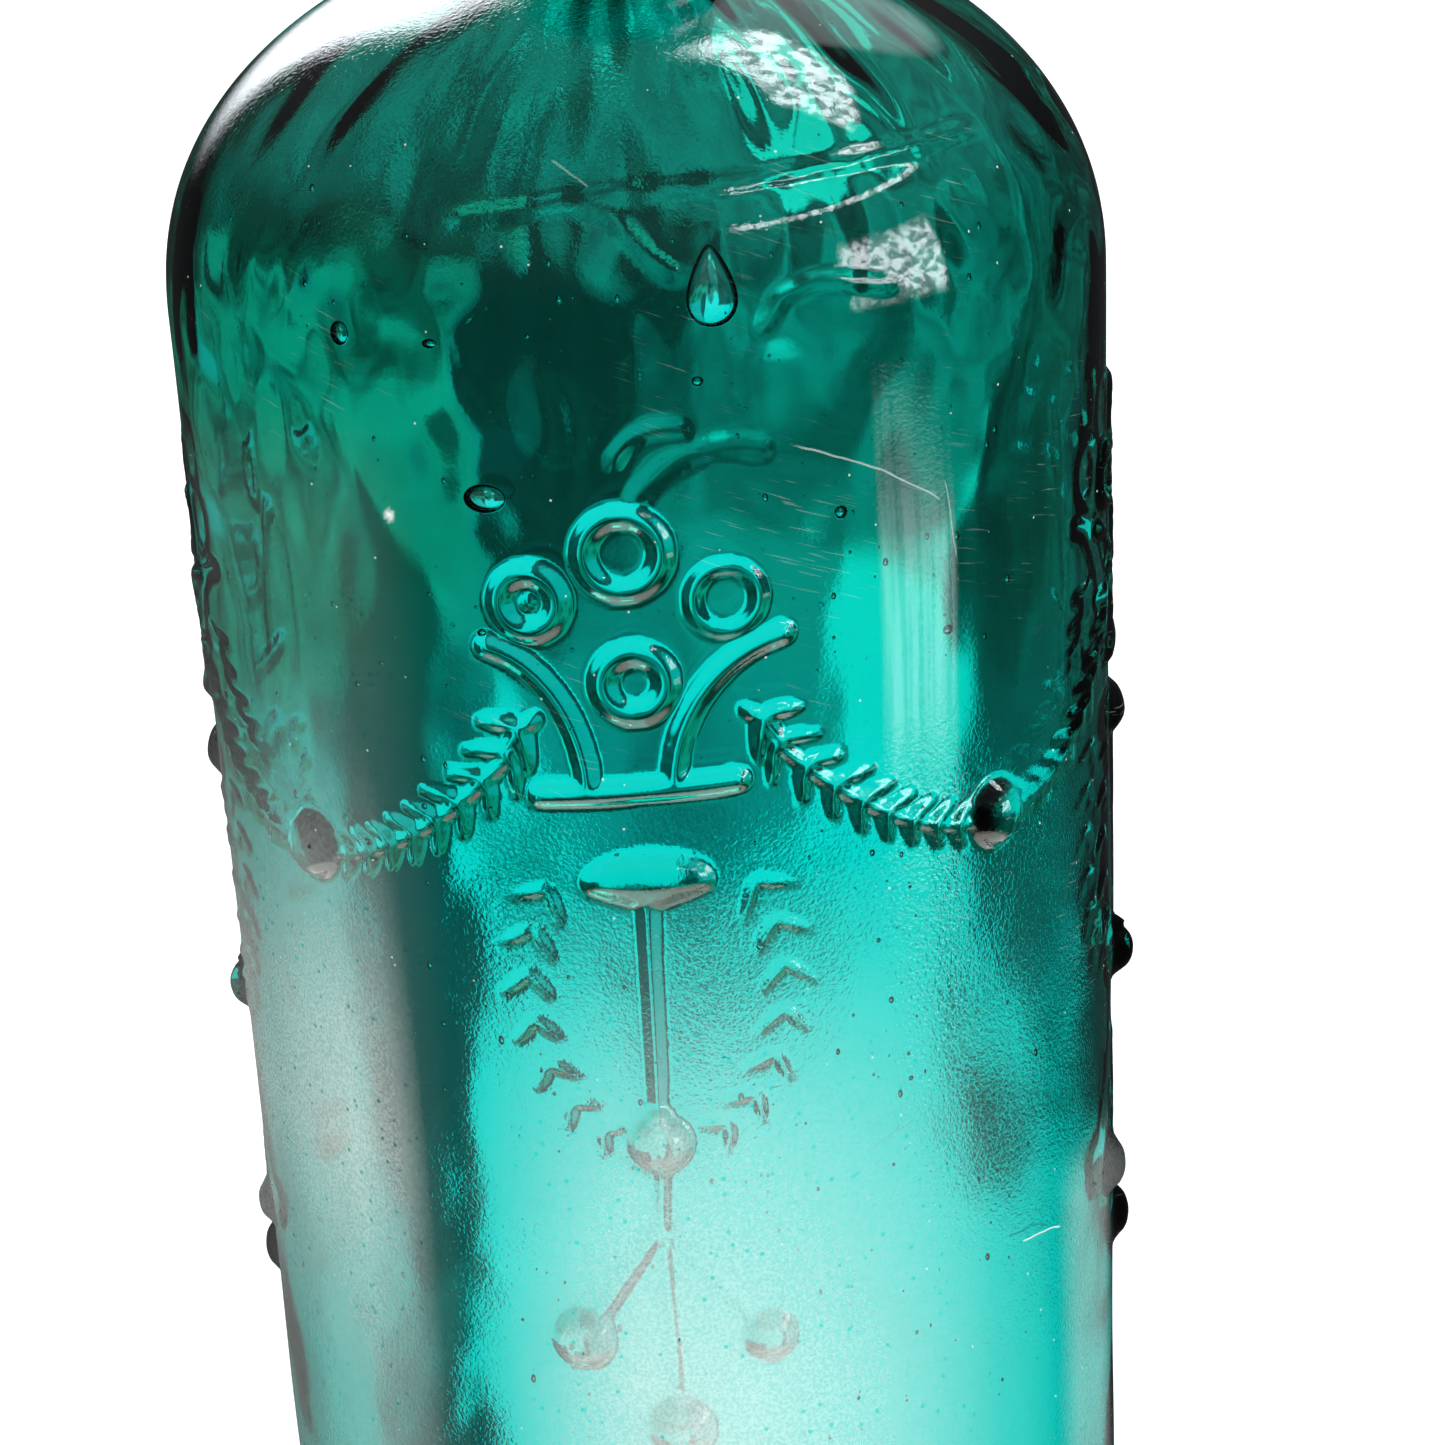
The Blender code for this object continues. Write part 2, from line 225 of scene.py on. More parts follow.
def flower(x, y, cx, cy, radius, half, proud):
    """A raised ring with an open middle."""
    reach = np.hypot(x - cx, y - cy)
    return proud * soft_dome((reach - radius) / half)


def stud(x, y, cx, cy, wide, tall, proud):
    return proud * dome(np.hypot((x - cx) / wide, (y - cy) / tall))


def rod(x, y, path, half_width, proud):
    """A rod along a path of points; half_width may differ at its two ends."""
    height = np.zeros_like(x)
    ends = np.broadcast_to(half_width, (2,))
    legs = len(path) - 1
    for leg in range(legs):
        (ax, ay), (bx, by) = path[leg], path[leg + 1]
        dx, dy = bx - ax, by - ay
        t = np.clip(((x - ax) * dx + (y - ay) * dy) / (dx * dx + dy * dy), 0.0, 1.0)
        reach = np.hypot(x - ax - t * dx, y - ay - t * dy)
        width = ends[0] + (ends[1] - ends[0]) * (leg + t) / legs
        height = np.maximum(height, proud * soft_dome(reach / width))
    return height


def leaf(x, y, root, heading, length, width, proud):
    """A pointed leaf from its root outwards, fullest a third of the way along."""
    c, s = math.cos(heading), math.sin(heading)
    u = ((x - root[0]) * c + (y - root[1]) * s) / length
    v = (y - root[1]) * c - (x - root[0]) * s
    inside = (u > 0.0) & (u < 1.0)
    uu = np.clip(u, 0.0, 1.0)
    half = width / 2 * np.sin(math.pi * uu ** 0.75) ** 0.8 + 1e-6
    return np.where(inside, proud * soft_dome(v / half) * (0.55 + 0.45 * (1 - uu)), 0.0)


def mushroom_cap(x, y):
    """A domed cap over a cone-shaped underside that is deepest in its middle."""
    half_width, rise, rim_depth, cone_depth, proud = 6.0, 2.9, 0.7, 2.1, 1.75
    u = np.clip(np.abs(x + 0.2) / half_width, 0.0, 1.0)
    v = y + 0.1
    top = np.sqrt(np.clip(1.0 - u * u - (v / rise) ** 2, 0.0, None))
    depth = rim_depth + cone_depth * (1.0 - u) ** 0.8
    under = np.sqrt(1.0 - u * u) * np.clip(1.0 + v / depth, 0.0, 1.0) ** 0.75
    return proud * np.where(v > 0.0, top, under)


def basket_path(side):
    """Curve of one basket side; the basket stands a little to the left of the motif's middle."""
    middle, wide = (14.9, 12.2) if side > 0 else (14.9, 9.9)
    angles = np.radians(np.linspace(0.0, 82.0, 12))
    return [(side * (middle - wide * math.cos(a)), 9.0 + 13.6 * math.sin(a)) for a in angles]


def add_garland(x, y, height, side):
    """Herring-bone leaves on a thin stem; their tips point at the boss."""
    corner = QUARTER / 2
    reach = np.linspace(24.8, 3.4, 22)
    path = [(side * (corner - r), GARLAND_CURVE * r * r) for r in reach]
    np.maximum(height, rod(x, y, path, 0.5, 0.6), out=height)
    for index, r in enumerate(np.linspace(23.6, 5.4, 8)):
        slope = math.atan(2 * GARLAND_CURVE * r)
        along = math.atan2(-math.sin(slope), side * math.cos(slope))
        root = (side * (corner - r), GARLAND_CURVE * r * r)
        for turn in (-1, 1):
            size = 4.3 - 0.22 * index + (0.4 if turn * side > 0 else 0.0)
            heading = along + turn * LEAF_SPLAY
            np.maximum(height, leaf(x, y, root, heading, size, 0.95, 0.75), out=height)
    tuft = (side * 10.6, 15.0)
    for heading, size in ((-92.0, 4.6), (-50.0, 3.6), (6.0, 4.4), (150.0, 2.0)):
        angle = math.radians(heading if side > 0 else 180.0 - heading)
        np.maximum(height, leaf(x, y, tuft, angle, size, 1.2, 0.85), out=height)


def add_wreath(x, y, height, side):
    """Pairs of pointed leaves that hang from the nodes of a U-shaped sprig."""
    for index, degrees in enumerate(np.linspace(38.0, -60.0, 7)):
        angle = math.radians(degrees)
        across, down = side * WREATH_HALF_WIDTH, WREATH_HALF_HEIGHT
        root = (across * math.cos(angle), WREATH_Y + down * math.sin(angle))
        along = math.atan2(-down * math.cos(angle), across * math.sin(angle))
        size = 4.1 - 0.2 * index
        for turn in (-1, 1):
            heading = along + turn * LEAF_SPLAY
            np.maximum(height, leaf(x, y, root, heading, size, 0.85, 0.55), out=height)


def motif_height(x, y):
    """Height of one motif's relief; x runs from one corner boss to the next."""
    height = np.zeros_like(x)
    parts = [
        flower(x, y, -0.7, 31.0, 3.45, 1.0, 0.7), flower(x, y, -9.3, 26.7, 2.65, 1.1, 0.75),
        flower(x, y, 8.2, 26.3, 3.0, 0.75, 0.42), flower(x, y, -0.3, 19.0, 2.85, 1.15, 0.7),
        stud(x, y, -9.3, 26.7, 0.9, 0.9, 0.4),
        rod(x, y, [(-9.4, 8.5), (8.4, 9.2)], 1.1, 0.8),
        mushroom_cap(x, y),
        rod(x, y, [(-0.4, -2.2), (-0.6, -23.4)], (0.85, 0.55), 0.75),
        stud(x, y, -0.6, -23.2, 1.1, 0.5, 2.3),
        stud(x, y, -0.6, -26.1, 2.8, 2.8, 2.5),
        stud(x, y, -9.4, -46.6, 2.9, 2.9, 1.8), stud(x, y, 8.8, -46.9, 2.4, 2.4, 1.4),
        stud(x, y, -0.3, -56.2, 3.0, 3.0, 1.9),
        rod(x, y, [(-0.7, -28.8), (-0.9, -34.6)], 0.5, 0.35),
        rod(x, y, [(-0.9, -34.6), (-9.3, -46.6)], (0.55, 0.9), 0.4),
        rod(x, y, [(-0.9, -34.6), (8.8, -46.9)], (0.5, 0.5), 0.35),
        rod(x, y, [(-0.9, -34.6), (-0.5, -53.4)], 0.38, 0.25),
    ]
    for side in (-1, 1):
        parts.append(rod(x, y, basket_path(side), 0.95, 0.75))
    for part in parts:
        np.maximum(height, part, out=height)
    for side in (-1, 1):
        add_wreath(x, y, height, side)
    return height


def garland_height(x, y):
    """Height of the two half garlands of a panel and of the bosses that they hang from."""
    height = np.zeros_like(x)
    for side in (-1, 1):
        np.maximum(height, stud(x, y, side * QUARTER / 2, 0.5, 3.1, 3.3, 2.5), out=height)
        add_garland(x, y, height, side)
    return height


def flaws_height(x, y):
    """Faint ridges: two arcs over the flowers, the shoulder's seam line with two short ridges
    under it, and the mould's two upright seams."""
    arcs = [(math.radians(a), 0.0) for a in range(150, 61, -10)]
    small = [(3.6 + 5.2 * math.cos(a), 36.6 + 5.6 * math.sin(a)) for a, _ in arcs]
    large = [(9.0 + 9.2 * math.cos(a), 32.0 + 8.2 * math.sin(a)) for a, _ in arcs]
    height = np.maximum(rod(x, y, small, 0.75, 0.22), rod(x, y, large, 1.1, 0.16))
    line = [(-14.0, 60.6), (0.0, 62.3), (13.0, 62.5), (26.0, 63.2), (40.0, 63.8)]
    height = np.maximum(height, rod(x, y, line, 0.8, 0.16))
    left = [(-8.0, 61.2), (-4.0, 61.9), (0.2, 60.6), (3.4, 57.2), (5.4, 55.6)]
    right = [(13.0, 50.4), (14.6, 52.8), (18.4, 53.8), (25.0, 52.6)]
    for path in (left, right):
        height = np.maximum(height, rod(x, y, path, 0.7, 0.2))
    for side in (-1, 1):
        seam = [(side * SEAM_X, -58.0), (side * SEAM_X, 62.0)]
        height = np.maximum(height, rod(x, y, seam, 1.0, 0.14))
    return height


def soften(field):
    """One light smoothing pass that rounds the feet of the relief, as a mould leaves them."""
    rows = np.pad(field, ((1, 1), (0, 0)), mode="edge")
    field = 0.25 * rows[:-2] + 0.5 * rows[1:-1] + 0.25 * rows[2:]
    return 0.25 * np.roll(field, 1, 1) + 0.5 * field + 0.25 * np.roll(field, -1, 1)


def relief(theta, z):
    """Relief height over a grid: theta along the columns, z along the rows."""
    around = (theta * GIRTH_RADIUS + 2 * QUARTER) % (4 * QUARTER) - 2 * QUARTER
    x = (around + QUARTER / 2) % QUARTER - QUARTER / 2
    grid_x, grid_y = np.meshgrid(x, z - CAP_Z)
    height = np.where(np.abs(around) < 1.5 * QUARTER, motif_height(grid_x, grid_y), 0.0)
    garlands = np.where(np.abs(around) < QUARTER, garland_height(grid_x, grid_y), 0.0)
    grid_x, _ = np.meshgrid(around, z)
    height = np.maximum(np.maximum(height, garlands), flaws_height(grid_x, grid_y))
    return soften(height)


# ---------------------------------------------------------------- the glass mesh

def columns():
    """Angles of the grid's columns, closest together on the side that faces -Y."""
    fine = math.radians(FRONT_HALF_ANGLE)
    front = round(2 * fine * GIRTH_RADIUS / FRONT_CELL)
    back = round((2 * math.pi - 2 * fine) * GIRTH_RADIUS / BACK_CELL)
    back += (-(front + back)) % 4
    angles = np.linspace(-fine, fine, front, endpoint=False)
    return np.concatenate([angles, np.linspace(fine, 2 * math.pi - fine, back, endpoint=False)])


def displaced(rows, theta, inner):
    """Rings of points: the turned outline, pushed along its normal by relief and waviness."""
    r = np.array([row[0] for row in rows])
    z = np.array([row[1] for row in rows])
    dr, dz = np.gradient(r), np.gradient(z)
    size = np.hypot(dr, dz)
    normal_r, normal_z = dz / size, -dr / size
    grid_t, grid_z = np.meshgrid(theta, z)
    calm = np.clip((NECK_FOOT_Z + 6.0 - z) / 14.0, 0.0, 1.0) * np.clip((z - 2.0) / 12.0, 0.0, 1.0)
    if inner:
        unrest = 0.12 + 0.88 * np.clip((grid_z - CAP_Z - 24.0) / 34.0, 0.0, 1.0)
        push = 0.3 * waves(grid_t, grid_z, 5, 30.0) + 0.14 * waves(grid_t, grid_z, 6, 14.0, upright=1.6)
        push = (push + 0.05 * waves(grid_t, grid_z, 8, 6.5)) * unrest
    else:
        push = 0.05 * waves(grid_t, grid_z, 7, 34.0)
    push = push * calm[:, None]
    if not inner:
        zone = np.flatnonzero((z > RELIEF_BOTTOM) & (z < FLAWS_TOP))
        push[zone] += relief(theta, z[zone])
    radius = r[:, None] + push * normal_r[:, None]
    height = z[:, None] + push * normal_z[:, None]
    return np.stack([radius * np.sin(theta), -radius * np.cos(theta), height], 2)


def stitch(first, second, n, m):
    """Faces between two rings that start at these indices and have n and m columns."""
    quads, tris = [], []
    if n == m:
        j = np.arange(n)
        k = (j + 1) % n
        quads.append(np.stack([first + j, first + k, second + k, second + j], 1))
        return quads, tris
    if n > m:
        j = np.arange(m)
        step = n // m
        k = (j + 1) % m
        for part in range(step):
            a = first + step * j + part
            b = first + (step * j + part + 1) % n
            top = second + (j if part < step / 2 else k)
            tris.append(np.stack([a, b, top], 1))
        middle = first + (step * j + step // 2) % n
        tris.append(np.stack([middle, second + k, second + j], 1))
        return quads, tris
    swapped_quads, swapped_tris = stitch(second, first, m, n)
    return swapped_quads, [tri[:, ::-1] for tri in swapped_tris]


def place_on_body(x, y, depth=0.0):
    """Point x round the body and y over the cap, depth under the outer side, and its outward axis."""
    angle = x / GIRTH_RADIUS
    outward = np.array([math.sin(angle), -math.cos(angle), 0.0])
    point = outward * (outer_radius(CAP_Z + y) - depth) + np.array([0.0, 0.0, CAP_Z + y])
    return point, outward


def outer_radius(z):
    """Outer radius of the plain body and shoulder at a height."""
    if z <= SHOULDER_Z:
        return body_radius(z)
    r, height = shoulder(SHOULDER_RADIUS, SHOULDER_RISE, SHOULDER_SWEEP, 60).T
    return float(np.interp(z, height, r))


def unit_ball(subdivisions):
    bm = bmesh.new()
    bmesh.ops.create_icosphere(bm, subdivisions=subdivisions, radius=1.0)
    points = np.array([vert.co[:] for vert in bm.verts])
    faces = np.array([[vert.index for vert in face.verts] for face in bm.faces])
    bm.free()
    return points, faces


def seed_list():
    """Bubbles in the wall: (x, y, depth, half width, half height, half thickness)."""
    seeds = [
        (8.7, 54.0, 1.5, 2.1, 3.6, 0.9), (-12.8, 36.0, 1.2, 2.0, 1.35, 0.8),
        (-26.4, 50.3, 1.3, 1.0, 1.1, 0.6), (-16.9, 49.9, 1.1, 0.75, 0.45, 0.4),
        (19.4, 32.6, 1.0, 0.65, 0.65, 0.5), (6.9, 45.9, 1.6, 0.55, 0.5, 0.4),
        (-14.0, 23.5, 0.9, 0.45, 0.45, 0.35), (30.6, 19.4, 1.2, 0.6, 0.5, 0.4),
    ]
    rng = np.random.default_rng(11)
    for _ in range(SEEDS):
        size = 0.1 + 0.2 * rng.random() ** 3
        front = rng.random() < 0.6
        x = rng.uniform(-34.0, 42.0) if front else rng.uniform(42.0, 4 * QUARTER - 34.0)
        y = rng.uniform(-62.0, 66.0)
        seeds.append((x, y, rng.uniform(0.5, 2.6), size, size * rng.uniform(0.9, 1.7), size * 0.8))
    return seeds


def bubbles(start):
    """Ellipsoid hollows in the wall, with their faces turned towards the air inside them."""
    balls = {size: unit_ball(size) for size in (1, 2, 4)}
    points, faces = [], []
    for x, y, depth, wide, tall, thick in seed_list():
        ball, ball_faces = balls[4 if wide > 0.9 else 2 if wide > 0.25 else 1]
        middle, outward = place_on_body(x, y, depth)
        around = np.array([-outward[1], outward[0], 0.0])
        up = np.array([0.0, 0.0, 1.0])
        narrow = 1.0 - 0.45 * ball[:, 2:3] if wide > DROP_WIDTH else 1.0
        shape = ball[:, :1] * narrow * wide * around + ball[:, 2:3] * tall * up
        shape = shape + ball[:, 1:2] * thick * outward
        points.append(middle + shape)
        faces.append(ball_faces + start)
        start += len(ball)
    return np.concatenate(points), np.concatenate(faces)


def ramp(value, low, high):
    """Smooth step from 0 at low to 1 at high; low may be the larger."""
    t = np.clip((value - low) / (high - low), 0.0, 1.0)
    return t * t * (3.0 - 2.0 * t)


def haze_field(x, y):
    """Share of the outer side that a whitish cover hides: a bloom most low on the front, and pale areas to
    its left, in a strip low on the right edge and very faintly over the left up to the shoulder.

    One pale speck is stuck on over the left garland.
    """
    across = np.interp(x, [-22, -18, -14, -9, -4, 6, 14, 23, 28, 34, 44],
                       [0.0, 0.12, 0.34, 0.68, 1.0, 0.95, 0.72, 0.43, 0.26, 0.1, 0.0])
    down = np.interp(y, [-120, -52, -40, -28, -20, -10, 0], [1.0, 1.0, 0.8, 0.58, 0.36, 0.12, 0.0])
    # Lighter to the left of the front, low down.
    left = np.interp(x, [-75, -60, -48, -40, -34, -28, -24], [0.0, 0.6, 0.6, 0.85, 1.0, 0.6, 0.0])
    left_down = np.interp(y, [-120, -58, -44, -30, -17, -5, 10, 30],
                          [0.4, 0.45, 0.66, 1.0, 0.85, 0.5, 0.2, 0.0])
    # A very faint lift over the left, and a pale strip low on the right edge.
    faint = 0.042 * ramp(x, -62.0, -50.0) * ramp(x, -18.0, -28.0) * ramp(y, 46.0, 30.0)
    rim = 0.14 * ramp(x, 44.0, 50.0) * ramp(x, 64.0, 56.0) * ramp(y, -38.0, -46.0)
    speck = 0.9 * dome(np.hypot(x + 22.0, y - 34.2) / 0.6)
    return np.maximum.reduce([0.52 * across * down, 0.5 * left * left_down, rim, faint, speck])


def film_field(x, y):
    """How pebbled the surface is: most below the basket, on the shoulder's left, and beside the
    top of the wreath, where it is coarse."""
    low = ramp(y, 14.0, -2.0) * ramp(np.abs(x), 62.0, 48.0) * (0.3 + 0.7 * ramp(x, -18.0, -9.0))
    high = ramp(y, 54.0, 64.0) * ramp(x, 22.0, -4.0) * ramp(x, -75.0, -55.0)
    coarse = np.maximum(np.exp(-((x - 11.0) / 8.0) ** 2 - ((y + 9.0) / 10.0) ** 2),
                        np.exp(-((x + 12.0) / 4.0) ** 2 - ((y + 3.0) / 8.0) ** 2))
    return 0.1 + 0.9 * np.maximum(low, high) + 1.2 * coarse


def wall_rings(theta):
    """Rings of the wall, outside from the push-up's middle and back inside to the floor's middle.

    Gives the points in groups, whether each is on the inner side, and each ring's first index
    and count. The first and the last group are the two middles, of one point each.
    """
    points = [np.array([[0.0, 0.0, kick_height(0.0)]])]
    inside = [np.zeros(1)]
    rings = []
    start = 1
    for rows, is_inner in ((outer_rows(), False), (inner_rows(), True)):
        for row, ring in zip(rows, displaced(rows, theta, is_inner)):
            picked = ring[::row[2]]
            rings.append((start, len(picked)))
            points.append(picked)
            inside.append(np.full(len(picked), float(is_inner)))
            start += len(picked)
    points.append(np.array([[0.0, 0.0, FLOOR + kick_height(0.0)]]))
    inside.append(np.ones(1))
    return points, inside, rings


def wall_faces(rings, last):
    """Faces between neighbouring rings, and a fan round the first and the last point."""
    quads, tris = [], []
    for (a, n), (b, m) in zip(rings, rings[1:]):
        new_quads, new_tris = stitch(a, b, n, m)
        quads += new_quads
        tris += new_tris
    a, n = rings[0]
    j = np.arange(n)
    tris.append(np.stack([np.zeros(n, int), a + (j + 1) % n, a + j], 1))
    b, m = rings[-1]
    j = np.arange(m)
    tris.append(np.stack([np.full(m, last), b + j, b + (j + 1) % m], 1))
    return quads, tris


def surface_fields(points, inside):
    """Strength of the pebbled film, and of the dust with its painted glow on the tall studs, at every
    point of the vessel.
    """
    x = np.arctan2(points[:, 0], -points[:, 1]) * GIRTH_RADIUS
    y = points[:, 2] - CAP_Z
    proud = np.hypot(points[:, 0], points[:, 1]) - body_radius(points[:, 2])
    # Whitish cover on the tall studs low on the front: a painted glow that stands in for the pale floor
    # seen through these balls, not dust.
    painted_stud_glow = 0.36 * ramp(proud, 0.7, 1.3) * ramp(y, -17.0, -24.0) * ramp(np.abs(x), 30.0, 24.0)
    return {"film": film_field(x, y) * (1.0 - 0.9 * inside),
            "dust_and_painted_glow": np.maximum(haze_field(x, y), painted_stud_glow) * (1.0 - inside)}


def glass_mesh(name):
    """The vessel's closed wall with its bubbles, and its film and its dust with painted glow as point
    attributes.
    """
    points, inside, rings = wall_rings(columns())
    last = sum(len(group) for group in points) - 1
    quads, tris = wall_faces(rings, last)
    hollow_points, hollow_faces = bubbles(last + 1)
    points = np.concatenate(points + [hollow_points])
    inside = np.concatenate(inside + [np.zeros(len(hollow_points))])
    faces = np.concatenate(quads).tolist() + np.concatenate(tris + [hollow_faces]).tolist()
    mesh = bpy.data.meshes.new(name)
    mesh.from_pydata((points * MM).tolist(), [], faces)
    for key, values in surface_fields(points, inside).items():
        layer = mesh.attributes.new(key, "FLOAT", "POINT")
        layer.data.foreach_set("value", values.astype(np.float32))
    mesh.shade_smooth()
    return mesh


def turned_mesh(name, outline, steps, closed, push):
    """Spin an outline round Z; push gives each point's shift along its outward normal."""
    r, z = np.array(outline).T
    if closed:
        dr, dz = np.roll(r, -1) - np.roll(r, 1), np.roll(z, -1) - np.roll(z, 1)
    else:
        dr, dz = np.gradient(r), np.gradient(z)
    size = np.hypot(dr, dz)
    theta = np.linspace(0.0, 2 * math.pi, steps, endpoint=False)
    shift = push(theta[None, :], r[:, None], z[:, None])
    radius = r[:, None] + shift * (dz / size)[:, None]
    height = z[:, None] - shift * (dr / size)[:, None]
    points = np.stack([radius * np.sin(theta), -radius * np.cos(theta), height], 2).reshape(-1, 3)
    bm = bmesh.new()
    verts = [bm.verts.new(point) for point in (points * MM).tolist()]
    rings = len(r)
    for ring in range(rings if closed else rings - 1):
        after = (ring + 1) % rings * steps
        for column in range(steps):
            beside = (column + 1) % steps
            bm.faces.new([verts[ring * steps + column], verts[ring * steps + beside],
                          verts[after + beside], verts[after + column]])
    if not closed:
        bm.faces.new(verts[:steps])
        bm.faces.new(verts[-steps:])
    bmesh.ops.recalc_face_normals(bm, faces=bm.faces)
    mesh = bpy.data.meshes.new(name)
    bm.to_mesh(mesh)
    bm.free()
    mesh.shade_smooth()
    return mesh


def lip_mesh():
    """A square collar over a string ring, with the slight unevenness of a lip tooled by hand."""
    ledge_z = NECK_TOP_Z + GAP
    outline = [(neck_radius(ledge_z) + GAP, ledge_z), (seat_radius(ledge_z), ledge_z)]
    outline += [(seat_radius(z), z) for z in np.linspace(ledge_z + 0.8, MOUTH_Z - 2.0, 5)]
    outline += list(arc(MOUTH_RADIUS + 1.3, MOUTH_Z - 1.3, 1.3, 180.0, 90.0, 8))
    edge = COLLAR_RADIUS - COLLAR_ROUND
    outline += list(arc(edge, MOUTH_Z - COLLAR_ROUND, COLLAR_ROUND, 90.0, 0.0, 8))
    side = np.linspace(MOUTH_Z - COLLAR_ROUND - 1.0, COLLAR_Z + 1.0, 6)
    outline += [(COLLAR_RADIUS, z) for z in side]
    outline += list(arc(edge, COLLAR_Z, COLLAR_ROUND, 0.0, -90.0, 8))
    centre = STRING_RING_RADIUS - STRING_RING_ROUND
    outline += list(arc(centre, STRING_RING_Z, STRING_RING_ROUND, 60.0, -90.0, 14))
    skirt_z = STRING_RING_Z - STRING_RING_ROUND
    outline.append((neck_radius(skirt_z) + GAP, skirt_z))
    outline += [(neck_radius(z) + GAP, z) for z in np.linspace(skirt_z + 2.0, ledge_z - 2.0, 5)]

    def push(theta, r, z):
        free = np.clip((r - 14.6) / 1.4, 0.0, 1.0)
        tooled = 0.16 * waves(theta, z, 21, 18.0) + 0.05 * waves(theta, z, 22, 3.0)
        return free * np.clip(tooled, -0.4, 0.4)

    return turned_mesh("tooled_lip", outline, 144, True, push)


def cork_mesh():
    """A tapered cork with worn edges and the pits and slits of its bark."""
    def side(z):
        return seat_radius(z) - CORK_CLEARANCE

    outline = [(r, SEAT_Z) for r in np.arange(0.5, side(SEAT_Z) - 1.0, 0.5)]
    outline += list(arc(side(SEAT_Z + 0.9) - 0.9, SEAT_Z + 0.9, 0.9, -90.0, 0.0, 5))
    outline += [(side(z), z) for z in np.arange(SEAT_Z + 1.3, CORK_TOP_Z - 1.2, 0.4)]
    outline += list(arc(side(CORK_TOP_Z - 0.9) - 0.9, CORK_TOP_Z - 0.9, 0.9, 0.0, 90.0, 5))
    outline += [(r, CORK_TOP_Z) for r in np.arange(side(CORK_TOP_Z) - 1.3, 0.3, -0.45)]

    def push(theta, r, z):
        x, y = r * np.sin(theta), -r * np.cos(theta)
        rng = np.random.default_rng(31)
        depth = 0.06 * np.abs(waves(theta, z, 32, 3.0)) + 0.04
        for _ in range(CORK_PITS):
            angle, reach = rng.uniform(0.0, 2 * math.pi), side(CORK_TOP_Z)
            height = rng.uniform(SEAT_Z, CORK_TOP_Z)
            if rng.random() < 0.3:
                reach, height = reach * math.sqrt(rng.random()), CORK_TOP_Z
            wide, tall = rng.uniform(0.35, 1.3), rng.uniform(0.25, 0.5)
            far = np.hypot(x - reach * math.sin(angle), y + reach * math.cos(angle)) / wide
            pit = np.exp(-far ** 2 - ((z - height) / tall) ** 2)
            depth = np.maximum(depth, rng.uniform(0.2, 0.75) * pit)
        return -depth

    return turned_mesh("bark_cork", outline, 150, False, push)


def new_piece(name, mesh, material, body):
    piece = bpy.data.objects.new(name, mesh)
    bpy.context.scene.collection.objects.link(piece)
    mesh.materials.append(material)
    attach(piece, body)
    return piece


# ---------------------------------------------------------------- node helpers

class Nodes:
    """Short calls for building a node tree."""

    def __init__(self, tree):
        self.tree = tree

    def add(self, kind, **settings):
        node = self.tree.nodes.new(kind)
        for key, value in settings.items():
            setattr(node, key, value)
        return node

    def feed(self, socket, value):
        if isinstance(value, bpy.types.NodeSocket):
            self.tree.links.new(value, socket)
        else:
            socket.default_value = value

    def math(self, operation, *values, clamp=False):
        node = self.add("ShaderNodeMath", operation=operation, use_clamp=clamp)
        for socket, value in zip(node.inputs, values):
            self.feed(socket, value)
        return node.outputs[0]

    def step(self, value, low, high, start=0.0, end=1.0):
        """A smooth ramp from start at low to end at high."""
        node = self.add("ShaderNodeMapRange", interpolation_type="SMOOTHSTEP")
        for socket, item in zip(node.inputs, (value, low, high, start, end)):
            self.feed(socket, item)
        return node.outputs[0]

    def mix(self, factor, first, second):
        """Mix of two numbers."""
        node = self.add("ShaderNodeMix", data_type="FLOAT")
        for socket, item in zip(node.inputs[:1] + node.inputs[2:4], (factor, first, second)):
            self.feed(socket, item)
        return node.outputs[0]

    def mix_colour(self, factor, first, second):
        node = self.add("ShaderNodeMix", data_type="RGBA")
        for index, item in ((0, factor), (6, first), (7, second)):
            self.feed(node.inputs[index], item)
        return node.outputs[2]

    def noise(self, vector, scale, detail=2.0, roughness=0.5, distortion=0.0):
        node = self.add("ShaderNodeTexNoise")
        self.feed(node.inputs["Vector"], vector)
        node.inputs["Scale"].default_value = scale
        node.inputs["Detail"].default_value = detail
        node.inputs["Roughness"].default_value = roughness
        node.inputs["Distortion"].default_value = distortion
        return node.outputs["Fac"]

    def scaled(self, vector, scale):
        node = self.add("ShaderNodeMapping")
        self.feed(node.inputs["Vector"], vector)
        node.inputs["Scale"].default_value = scale
        return node.outputs[0]

    def turned(self, vector, degrees, spacing):
        """Coordinates turned in the plane of the front and measured in units of spacing."""
        node = self.add("ShaderNodeMapping", vector_type="TEXTURE")
        self.feed(node.inputs["Vector"], vector)
        node.inputs["Rotation"].default_value = (0.0, math.radians(degrees), 0.0)
        node.inputs["Scale"].default_value = spacing
        return node.outputs[0]

    def attribute(self, name):
        return self.add("ShaderNodeAttribute", attribute_name=name).outputs["Fac"]

    def object_coordinates(self):
        return self.add("ShaderNodeTexCoord").outputs["Object"]


# ---------------------------------------------------------------- materials

def node_material(name):
    material = bpy.data.materials.new(name)
    material.use_nodes = True
    return material, Nodes(material.node_tree), material.node_tree.nodes["Principled BSDF"]


def add_absorption(nodes, colour, density):
    volume = nodes.add("ShaderNodeVolumeAbsorption")
    volume.inputs["Color"].default_value = colour
    volume.inputs["Density"].default_value = density
    output = nodes.tree.nodes["Material Output"]
    nodes.tree.links.new(volume.outputs["Volume"], output.inputs["Volume"])


def cells(nodes, place, scale):
    """Distance from scattered points, in units of their spacing."""
    points = nodes.add("ShaderNodeTexVoronoi")
    points.inputs["Scale"].default_value = scale
    nodes.feed(points.inputs["Vector"], place)
    return points.outputs["Distance"]


